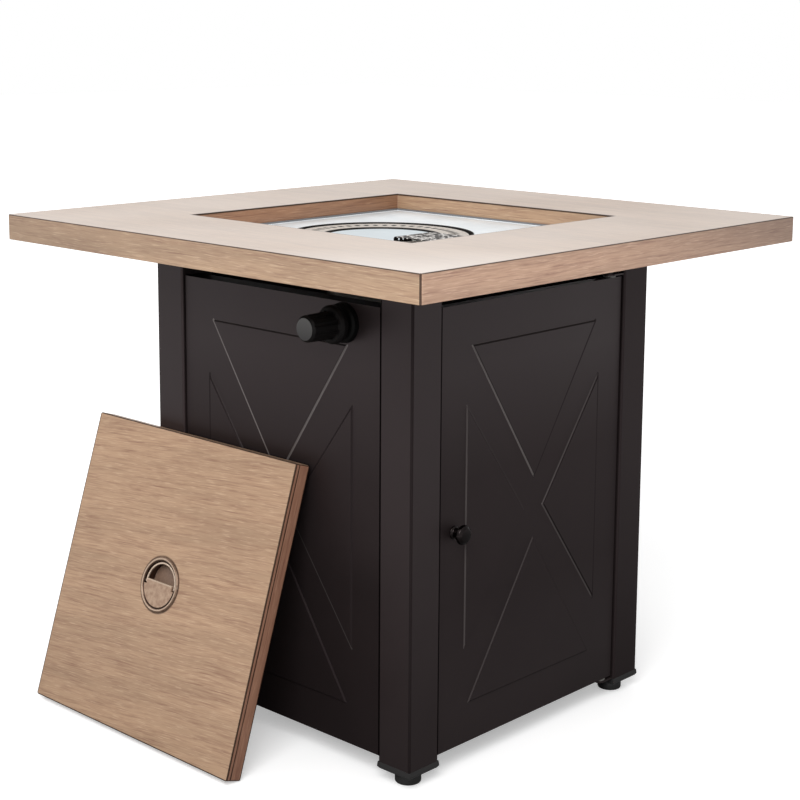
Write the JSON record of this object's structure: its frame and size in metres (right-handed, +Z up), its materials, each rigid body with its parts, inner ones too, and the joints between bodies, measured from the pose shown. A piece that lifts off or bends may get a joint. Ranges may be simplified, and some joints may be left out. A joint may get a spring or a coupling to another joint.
{
  "type": "fire pit table",
  "caption": "Square gas fire pit table: wood-look top with a ring burner in its opening, dark cabinet with X-pattern panels, a door and control knob, and its lid leaning on the front",
  "frame": {"origin": "on the floor under the middle of the tabletop", "axes": "+Z up, -Y the front with the control knob and the leaning lid, +X the side with the door"},
  "size_m": [0.711, 0.7138, 0.635],
  "materials": {
    "wood_look_coat": "streaky wood-look print under a satin clear coat",
    "dark_coat": "satin dark brown powder coat",
    "pan_steel": "plain rolled stainless sheet",
    "burner_steel": "plain stainless sheet, slightly dulled",
    "plated_steel": "bright zinc plate",
    "black_plastic": "moulded, matt",
    "bezel_coat": "satin dark coat",
    "knob_plastic": "moulded, lightly polished",
    "door_knob_coat": "satin dark coat",
    "valve_alloy": "die cast, bead blasted",
    "brass": "turned",
    "nylon": "moulded nylon",
    "insulator": "glazed ceramic"
  },
  "bodies": {
    "cabinet": {"air_shutter": "burner_steel", "back_panel": "dark_coat", "base_shelf": "dark_coat", "bottom_rail_back": "dark_coat", "bottom_rail_door": "dark_coat", "bottom_rail_front": "dark_coat", "bottom_rail_left": "dark_coat", "burner_studs": "plated_steel", "burner_tube": "burner_steel", "control_bezel": "bezel_coat", "electrode_pin": "plated_steel", "fire_pan": "pan_steel", "foot_left_back": "black_plastic", "foot_left_front": "black_plastic", "foot_right_back": "black_plastic", "foot_right_front": "black_plastic", "frame_bolts": "plated_steel", "front_panel": "dark_coat", "gas_valve": "valve_alloy", "hinge_bracket_lower": "dark_coat", "hinge_bracket_upper": "dark_coat", "hinge_pin_lower": "dark_coat", "hinge_pin_upper": "dark_coat", "igniter_guard": "burner_steel", "left_panel": "dark_coat", "magnet_catch": "black_plastic", "panel_nuts": "plated_steel", "post_caps": "black_plastic", "post_left_back": "dark_coat", "post_left_front": "dark_coat", "post_right_back": "dark_coat", "post_right_front": "dark_coat", "ring_burner": "burner_steel", "spark_electrode": "insulator", "table_underframe": "dark_coat", "tabletop": "wood_look_coat", "thermocouple": "plated_steel", "top_rail_back": "dark_coat", "top_rail_door": "dark_coat", "top_rail_front": "dark_coat", "top_rail_left": "dark_coat", "valve_inlet": "brass", "valve_screws": "plated_steel"},
    "door": {"door_panel": "dark_coat", "door_bush_upper": "nylon", "door_bush_lower": "nylon", "door_knob": "door_knob_coat", "door_knob_screw": "plated_steel", "strike_plate": "plated_steel"},
    "knob_carriage": {"stem_collar": "plated_steel"},
    "knob": {"valve_stem": "plated_steel", "control_knob": "knob_plastic"},
    "lid": {"lid_shell": "wood_look_coat", "lid_stiffener_upper": "dark_coat", "lid_stiffener_lower": "dark_coat", "lid_pull_cup": "wood_look_coat"},
    "pull_ring": {"lid_pull_ring": "wood_look_coat"}
  },
  "joints": [
    {"name": "door_hinge", "type": "hinge", "parent": "cabinet", "child": "door", "pos_m": [0.212, 0.155, 0.2955], "axis": [0, 0, 1], "range_deg": [0, 110]},
    {"name": "knob_push", "type": "slide", "parent": "cabinet", "child": "knob_carriage", "axis": [0, 1, 0], "range_m": [0, 0.005], "stiffness_N_per_m": 800, "springref_m": -0.002},
    {"name": "knob_turn", "type": "hinge", "parent": "knob_carriage", "child": "knob", "pos_m": [0.112, -0.2, 0.538], "axis": [0, -1, 0], "range_deg": [0, 180]},
    {"name": "lid_lift", "type": "slide", "parent": "cabinet", "child": "lid", "axis": [0, -0.9532, 0.3024], "range_m": [0, 0.4]},
    {"name": "pull_ring_fold", "type": "hinge", "parent": "lid", "child": "pull_ring", "pos_m": [-0.1295, -0.29946, 0.18575], "axis": [1, 0, 0], "range_deg": [0, 90]}
  ]
}
